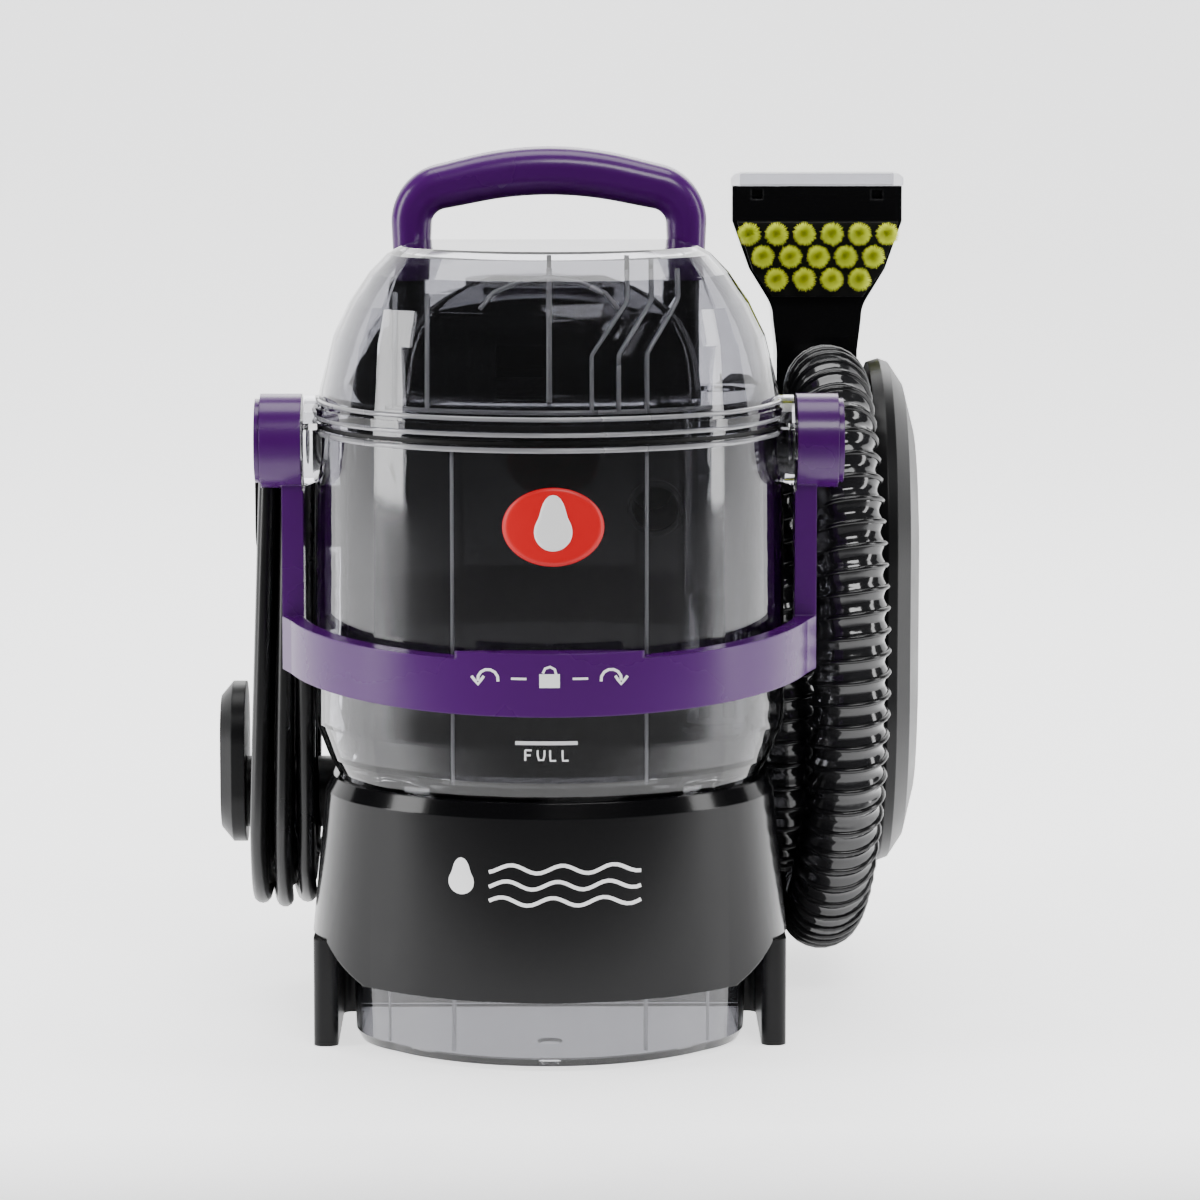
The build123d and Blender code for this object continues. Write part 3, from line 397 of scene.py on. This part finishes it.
def add_hose():
    """A smoked film tube that dips between its turns, with a round black rib wound on it."""
    route = [at(*p) for p in HOSE_ROUTE]
    line, along = read_line(route)
    points = evenly(line, along, HOSE_PITCH * MM / FILM_STEPS)
    sides, ups = steady_frames(points)
    film = bmesh.new()

    def film_radius(i, angle):
        turn = i / FILM_STEPS - angle / (2 * pi)
        return (HOSE_D / 2 - 1.7 + 0.75 * cos(2 * pi * turn)) * MM

    tube_mesh(film, points, sides, ups, film_radius, 28)
    hose = finish_piece("hose_film_tube", film, "machine", HOSE_FILM)
    rib = bmesh.new()
    turns = along[-1] / (HOSE_PITCH * MM)
    count = int(turns * RIB_STEPS)
    helix, outward, forward = [], [], []
    for j in range(count):
        place = j / RIB_STEPS * FILM_STEPS
        i = min(int(place), len(points) - 2)
        part = place - i
        middle = points[i] * (1 - part) + points[i + 1] * part
        angle = 2 * pi * j / RIB_STEPS
        out = cos(angle) * sides[i] + sin(angle) * ups[i]
        helix.append(middle + out * (HOSE_D / 2 - 1.35) * MM)
        outward.append(out)
        forward.append(np.cross(sides[i], ups[i]))
    tube_mesh(rib, helix, outward, forward, lambda i, angle: 1.45 * MM * (1 + 0.18 * cos(2 * angle)), 8)
    winding = finish_piece("hose_winding_rib", rib, "machine", HOSE_RIB)
    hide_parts("flex_hose")


# --- power cord -------------------------------------------------------------------------------------------
CORD_D = 7.3
COIL_Y = -6.0
LEAD_ROUTE = [(-92, 74, 56), (-92, 58, 56), (-96, 38, 53), (-103, 18, 50)]
PLUG_X = -106.0
PLUG_Y = 49.0
PLUG_ROUTE = [(PLUG_X, 22, 241), (PLUG_X, 40, 232), (PLUG_X, PLUG_Y, 217), (PLUG_X, PLUG_Y, 196)]
TURNS = 11.5
TURN_POINTS = 14
COLUMNS = 3
COIL_X = -100.6  # the column next to the machine
COIL_Z = 146
HOOK_RISE = 60  # from the coil's middle to the middle of each hook
COLUMN_PITCH = 7.45
LAYER_PITCH = 7.2
CROSSING = 0.82  # the share of a turn after which the cord crosses to its next place


def winding_points():
    """The turns of the cord round its two hooks, column by column and layer on layer, leaning out below.

    They start under the lower hook, run up the front and down the rear, and end over the upper hook.
    """
    points = []
    last = int(TURNS)
    for i in range(int(TURNS * TURN_POINTS)):
        turn = (i + 0.5) / TURN_POINTS
        number = min(int(turn), last)
        change = max(0.0, (turn - number - CROSSING) / 0.18)
        places = []
        for n in (number, min(number + 1, last)):
            row = n // COLUMNS
            step = n % COLUMNS
            places.append((row, step if row % 2 == 0 else COLUMNS - 1 - step))
        layer, column = [a * (1 - change) + b * change for a, b in zip(*places)]
        angle = 2 * pi * turn - 0.5 * pi
        loose = 1.6 * layer * max(0.0, -sin(angle)) * (0.6 + 0.4 * sin(2.1 * number))
        half_width = 15 + CORD_D * 0.52 + LAYER_PITCH * layer
        y = COIL_Y - half_width * cos(angle) + 0.7 * sin(3.1 * number + 2 * angle)
        z = COIL_Z + HOOK_RISE * np.sign(sin(angle)) + (half_width + loose) * sin(angle)
        lean = max(0.0, min(1.0, (190 - z) / 90))
        bulge = 5.5 * exp(-((z - 172) / 34)**2) if layer > 1.9 and column > 1.5 else 0.0
        sway = 0.5 * sin(1.7 * number + angle)
        x = -bulge + COIL_X - COLUMN_PITCH * column - lean * (1.9 * column + 0.4 * layer) - sway
        points.append((x, y, z))
    return points


def add_power_cord():
    """One swept line from the strain relief, round the hooks and down to the parked plug."""
    turns = winding_points()
    route = [at(*p) for p in LEAD_ROUTE[:-1] + turns + PLUG_ROUTE]
    cord = route_spline("power_cord", route, CORD_D / 2 * MM, 6)
    cord.data.materials.append(CORD_BLACK)
    _, along = read_line(route, 10)
    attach(cord, "machine")
    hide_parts("power_cord_coil", "power_cord_lead", "power_cord_tail")


# --- bristles ---------------------------------------------------------------------------------------------
TUFT_ROWS = [(6, 314.0), (5, 304.0), (4, 294.0)]
TUFT_PITCH = 12.2
STRANDS = 96  # filaments in a tuft
GOLDEN_ANGLE = 2.399963  # spreads them evenly over the tuft
FILAMENT_SIDES = (0, 2.094, 4.189)  # thirds of a turn


def add_tufts():
    """Each tuft is a burst of tapered filaments that spread from one hole in the plate."""
    dice = np.random.default_rng(7)
    edit = bmesh.new()
    for count, z in TUFT_ROWS:
        for column in range(count):
            root = Vector((GRIP_X + (column - (count - 1) / 2) * TUFT_PITCH, GRIP_Y - 20, z))
            for strand in range(STRANDS):
                turn = strand * GOLDEN_ANGLE
                spread = sqrt((strand + 0.5) / STRANDS)
                foot = root + Vector((1.7 * spread * cos(turn), 0, 1.7 * spread * sin(turn)))
                lean = radians(50) * spread
                reach = (8.8 - 4.2 * spread**2) * float(dice.uniform(0.86, 1.08))
                tip = foot + reach * Vector((sin(lean) * cos(turn), -cos(lean), sin(lean) * sin(turn)))
                bend = (foot + tip) / 2 + Vector((0, -0.8, 0))
                across = (tip - foot).cross(Vector((0.2, 0.1, 1))).normalized()
                other = (tip - foot).cross(across).normalized()
                rings = []
                for place, thick in ((foot, 0.40), (bend, 0.36), (tip, 0.10)):
                    rings.append([edit.verts.new(at(*(place + thick * (cos(a) * across + sin(a) * other))))
                                  for a in FILAMENT_SIDES])
                for a, b in zip(rings, rings[1:]):
                    for k in range(3):
                        edit.faces.new((a[k], a[(k + 1) % 3], b[(k + 1) % 3], b[k]))
                edit.faces.new(rings[0])
                edit.faces.new(rings[-1])
    tufts = finish_piece("bristle_tufts", edit, "tool", BRISTLE)
    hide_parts("brush_tufts")


# --- moulded detail and print -----------------------------------------------------------------------------
# Each row is a height, the front's y, and x and y of the corner, the side and the rear.
LID_PLAN = [
    (251, -157, 69, -131.5, 94.5, -80, 89, -41), (253, -158.5, 69.5, -133, 95, -80, 89, -41),
    (266, -157, 68.5, -132, 92.5, -80, 87, -42), (288, -152.5, 67.5, -129, 87, -80, 80, -44),
    (302, -147.5, 65, -125, 80, -80, 73, -46), (314, -139, 61, -118.5, 71, -80, 65, -49),
    (321.5, -131, 56, -112, 63, -80, 58, -52),
]
TANK_PLAN = [
    (2, -148, 62, -120, 77, -84, 76, -41), (110, -152, 65, -124, 82, -84, 81, -41),
    (118, -158, 69, -131, 90, -82, 87, -41), (131, -158.5, 70, -132, 95.5, -80, 90, -41),
    (251, -157, 69, -131.5, 94.5, -80, 89, -41),
]
APRON_PLAN = [(30, -159, 72, -129), (104, -160, 71, -130)]
BOW_PLAN = [(140, -173, 104, -97), (190, -173, 104, -97)]
INK_LIFT = 0.12  # how far print stands off the plastic
SHIELD_DEPTH = 34  # behind the dome's front
SHIELD_HALVES = (60, 60, 59.5, 59, 58, 56.5, 54.5, 52, 48, 42, 34, 22)  # half widths, from the foot up
EMBLEM_X = 1.5
EMBLEM_Z = 219.5
HUB_X = 118.8  # the hub discs' faces
HUB_Y = -80
HUB_Z = 245


def plan_at(plan, z):
    rows = np.array(plan)
    return [float(np.interp(z, rows[:, 0], rows[:, k])) for k in range(1, rows.shape[1])]


def front_y(plan, x, z):
    """Where the bowed front of a body lies, at a place across it and a height."""
    front, corner_x, corner_y = plan_at(plan, z)[:3]
    rise = corner_y - front
    bend = (corner_x**2 + rise**2) / (2 * rise)
    return front + bend - sqrt(bend**2 - min(abs(x), corner_x)**2)


def arc_points(a, b, c, count):
    """Points on the arc from a through b to c, counter-clockwise seen from above."""
    (ax, ay), (bx, by), (cx, cy) = a, b, c
    scale = 2 * (ax * (by - cy) + bx * (cy - ay) + cx * (ay - by))
    sa, sb, sc = ax**2 + ay**2, bx**2 + by**2, cx**2 + cy**2
    ux = (sa * (by - cy) + sb * (cy - ay) + sc * (ay - by)) / scale
    uy = (sa * (cx - bx) + sb * (ax - cx) + sc * (bx - ax)) / scale
    radius = sqrt((ax - ux)**2 + (ay - uy)**2)
    start, end = atan2(ay - uy, ax - ux), atan2(cy - uy, cx - ux)
    if end < start:
        end += 2 * pi
    return [(ux + radius * cos(t), uy + radius * sin(t)) for t in np.linspace(start, end, count)]


def outline_points(plan, z, out=0.0):
    """The D-shaped outline at a height, from the left rear round the front to the right rear."""
    front, corner_x, corner_y, side_x, side_y, rear_x, rear_y = plan_at(plan, z)
    cheek = ((corner_x + side_x) / 2 + 4.2, (corner_y + side_y) / 2 - 2.6)
    line = [(-rear_x, rear_y), (-(rear_x + side_x) / 2, (rear_y + side_y) / 2)]
    line += arc_points((-side_x, side_y), (-cheek[0], cheek[1]), (-corner_x, corner_y), 14)
    line += arc_points((-corner_x, corner_y), (0, front), (corner_x, corner_y), 49)[1:-1]
    line += arc_points((corner_x, corner_y), cheek, (side_x, side_y), 14)
    line += [((rear_x + side_x) / 2, (rear_y + side_y) / 2), (rear_x, rear_y)]
    flat = np.array(line)
    ahead = np.gradient(flat, axis=0)
    ahead /= np.linalg.norm(ahead, axis=1)[:, None]
    return flat + out * np.stack([ahead[:, 1], -ahead[:, 0]], axis=1)


def add_beads(name, plan, heights, radius, out, body, material):
    """Rounded steps that run round the outside of the tank family."""
    edit = bmesh.new()
    for z in heights:
        line = np.array([at(x, y, z) for x, y in outline_points(plan, z, out)])
        sides, ups = steady_frames(line)
        tube_mesh(edit, line, sides, ups, lambda i, angle: radius * MM, 10)
    return finish_piece(name, edit, body, material)


def line_3d(line):
    return np.column_stack([line, np.zeros(len(line))])


def ribbon(edit, line, width, plan, lift):
    """A flat strip that follows a line of (x, z) places on the bowed front, lifted off it."""
    line = np.array(line, dtype=float)
    along = np.concatenate([[0], np.cumsum(np.linalg.norm(np.diff(line, axis=0), axis=1))])
    line = evenly(line_3d(line), along, 2.0)[:, :2]
    ahead = np.gradient(line, axis=0)
    ahead /= np.linalg.norm(ahead, axis=1)[:, None]
    across = np.stack([-ahead[:, 1], ahead[:, 0]], axis=1) * width / 2
    rows = []
    for place, side in zip(line, across):
        rows.append([edit.verts.new(at(x, front_y(plan, x, z) - lift, z))
                     for x, z in (place - side, place + side)])
    for a, b in zip(rows, rows[1:]):
        edit.faces.new((a[0], a[1], b[1], b[0]))


def patch(edit, x0, z0, radius_at, plan, lift, rings=6, around=40):
    """A filled shape round a middle on the bowed front; radius_at(angle) gives its edge."""
    middle = edit.verts.new(at(x0, front_y(plan, x0, z0) - lift, z0))
    last = None
    for k in range(1, rings + 1):
        ring = []
        for j in range(around):
            angle = 2 * pi * j / around
            out = radius_at(angle) * k / rings
            x, z = x0 + out * cos(angle), z0 + out * sin(angle)
            ring.append(edit.verts.new(at(x, front_y(plan, x, z) - lift, z)))
        for j in range(around):
            after = (j + 1) % around
            if last is None:
                edit.faces.new((middle, ring[j], ring[after]))
            else:
                edit.faces.new((last[j], ring[j], ring[after], last[after]))
        last = ring


def oval(width, height):
    """The radius of an oval at each angle."""
    return lambda angle: 0.5 / sqrt((cos(angle) / width)**2 + (sin(angle) / height)**2)


def drop(size):
    """A water drop with its point up."""
    def edge(angle):
        tip = max(0.0, cos(angle - pi / 2))
        return size * (0.5 + 0.42 * tip**9 + 0.06 * tip**3)
    return edge


def thicken(piece, depth):
    """Gives a flat piece a thickness in millimetres."""
    thick = piece.modifiers.new("thickness", "SOLIDIFY")
    thick.thickness = depth * MM
    thick.offset = 0
    return piece


def arc_line(x0, z0, radius, start, end, count=14):
    """Places on an arc between two angles in degrees."""
    return [(x0 + radius * cos(radians(a)), z0 + radius * sin(radians(a)))
            for a in np.linspace(start, end, count)]


def add_lid_detail():
    """The moulded walls behind the dome's front, the inner shield and the stepped rim."""
    edit = bmesh.new()
    ribbon(edit, [(0, 268), (0, 318)], 2.2, LID_PLAN, -2.6)
    for foot, head in ((16.5, 30.5), (27.0, 40.0), (38.0, 50.5)):
        ribbon(edit, [(foot, 264), (foot, 286), (head, 306), (head, 317)], 1.6, LID_PLAN, -2.8)
    for x in (-60.5, -47.5):
        ribbon(edit, [(x, 264), (x, 308)], 1.5, LID_PLAN, -2.8)
    ribbon(edit, [(-27, 303), (-22, 309), (-12, 313.5), (0, 315), (12, 313.5), (22, 309), (27, 303)], 1.4,
           LID_PLAN, -2.6)
    ribbon(edit, [(-64, 264), (64, 264)], 1.8, LID_PLAN, -2.8)
    # the ribs use the frosted grey that partly paints the light on their edges
    thicken(finish_piece("dome_moulded_walls", edit, "lid", FROST_AND_EDGE_LIGHT), 1.6)
    edit = bmesh.new()
    rows = []
    for z, half in zip(np.linspace(264, 313, len(SHIELD_HALVES)), SHIELD_HALVES):
        rows.append([edit.verts.new(at(x, front_y(LID_PLAN, x, z) + SHIELD_DEPTH, z))
                     for x in np.linspace(-half, half, 25)])
    for low, high in zip(rows, rows[1:]):
        for k in range(24):
            edit.faces.new((low[k], low[k + 1], high[k + 1], high[k]))
    thicken(finish_piece("dome_inner_shield", edit, "lid", SHIELD), 1.4)
    add_beads("dome_rim_steps", LID_PLAN, (255.6, 261.6), 1.0, 0.3, "lid", FROST_AND_EDGE_LIGHT)
    add_beads("tank_rim_step", TANK_PLAN, (249.4,), 1.1, 0.3, "collection_tank", FROST_AND_EDGE_LIGHT)


def add_tank_detail():
    """Mould lines down the tank's front, the fill mark, and a plain water drop as the emblem."""
    edit = bmesh.new()
    for x in (-38, 38):
        ribbon(edit, [(x, 116), (x, 248)], 1.3, TANK_PLAN, -2.6)
        ribbon(edit, [(x, 6), (x, 106)], 1.3, TANK_PLAN, -2.6)
    for x in (-64, 63):
        ribbon(edit, [(x, 6), (x, 100)], 1.2, TANK_PLAN, -2.2)
    thicken(finish_piece("tank_mould_lines", edit, "collection_tank", FROST_AND_EDGE_LIGHT), 1.0)
    edit = bmesh.new()
    ribbon(edit, [(-13.5, 134.2), (11, 134.2)], 1.5, TANK_PLAN, INK_LIFT)
    letters(edit, -9.6, 127.2)
    thicken(finish_piece("full_mark", edit, "collection_tank", WHITE_INK, False), 0.15)
    edit = bmesh.new()
    patch(edit, EMBLEM_X, EMBLEM_Z, oval(40, 31), TANK_PLAN, INK_LIFT, 8, 56)
    thicken(finish_piece("emblem_field", edit, "collection_tank", RED_INK), 0.15)
    edit = bmesh.new()
    patch(edit, EMBLEM_X, EMBLEM_Z - 2, drop(15), TANK_PLAN, INK_LIFT + 0.2, 6, 56)
    thicken(finish_piece("emblem_drop", edit, "collection_tank", WHITE_INK), 0.15)


def letters(edit, x, z, size=4.2):
    """The word for a filled tank, drawn in strokes."""
    strokes = {"F": [[(0, 0), (0, 1)], [(0, 1), (0.6, 1)], [(0, 0.52), (0.5, 0.52)]],
               "U": [[(0, 1), (0, 0.25), (0.16, 0), (0.48, 0), (0.64, 0.25), (0.64, 1)]],
               "L": [[(0, 1), (0, 0), (0.55, 0)]]}
    for letter in "FULL":
        for line in strokes[letter]:
            ribbon(edit, [(x + size * a, z + size * b) for a, b in line], 0.75, TANK_PLAN, INK_LIFT)
        x += size * 0.95 + 0.9


def add_symbols():
    """Turning arrows and a padlock on the bail's tab, and a wave sign on the apron."""
    edit = bmesh.new()
    for x, way in ((-24, 1), (24, -1)):
        ribbon(edit, arc_line(x, 161.5, 4.0, 90 - 100 * way, 90 + 100 * way), 1.1, BOW_PLAN, INK_LIFT)
        ribbon(edit, [(x - way * 6.4, 162.6), (x - way * 3.9, 159.4), (x - way * 1.6, 162.8)], 1.1,
               BOW_PLAN, INK_LIFT)
    ribbon(edit, [(-4, 161.2), (4, 161.2)], 5.4, BOW_PLAN, INK_LIFT)
    ribbon(edit, arc_line(0, 164.2, 2.6, -10, 180), 1.0, BOW_PLAN, INK_LIFT)
    for x in (-12, 12):
        ribbon(edit, [(x - 3, 162), (x + 3, 162)], 0.9, BOW_PLAN, INK_LIFT)
    thicken(finish_piece("tab_symbols", edit, "bail", WHITE_INK, False), 0.15)
    edit = bmesh.new()
    for k in range(3):
        z = 84 - 6.5 * k
        ribbon(edit, [(x, z + 1.6 * sin(x / 3.2 + 0.6 * k)) for x in np.linspace(-24, 36, 61)], 1.5,
               APRON_PLAN, INK_LIFT)
    patch(edit, -35, 78, drop(10), APRON_PLAN, INK_LIFT, 5, 48)
    thicken(finish_piece("apron_symbol", edit, "machine", WHITE_INK, False), 0.15)


def add_hub_slot_shade():
    """Painted shade: thin black blocks on the face of each hub disc stand in for its two dark slots."""
    edit = bmesh.new()
    shape = Matrix.Diagonal((0.5 * MM, 17 * MM, 2.6 * MM, 1))
    for side in (-1, 1):
        for dz in (-6.5, 6.5):
            place = Matrix.Translation(at(side * HUB_X, HUB_Y, HUB_Z + dz))
            bmesh.ops.create_cube(edit, size=1, matrix=place @ shape)
    # painted shade of the slots, not cut into the disc
    finish_piece("hub_slot_shade", edit, "bail", SOFT_BLACK, False)


add_camera()
add_stage()
dress_frame()
add_hose()
add_power_cord()
add_tufts()
add_lid_detail()
add_tank_detail()
add_symbols()
add_hub_slot_shade()
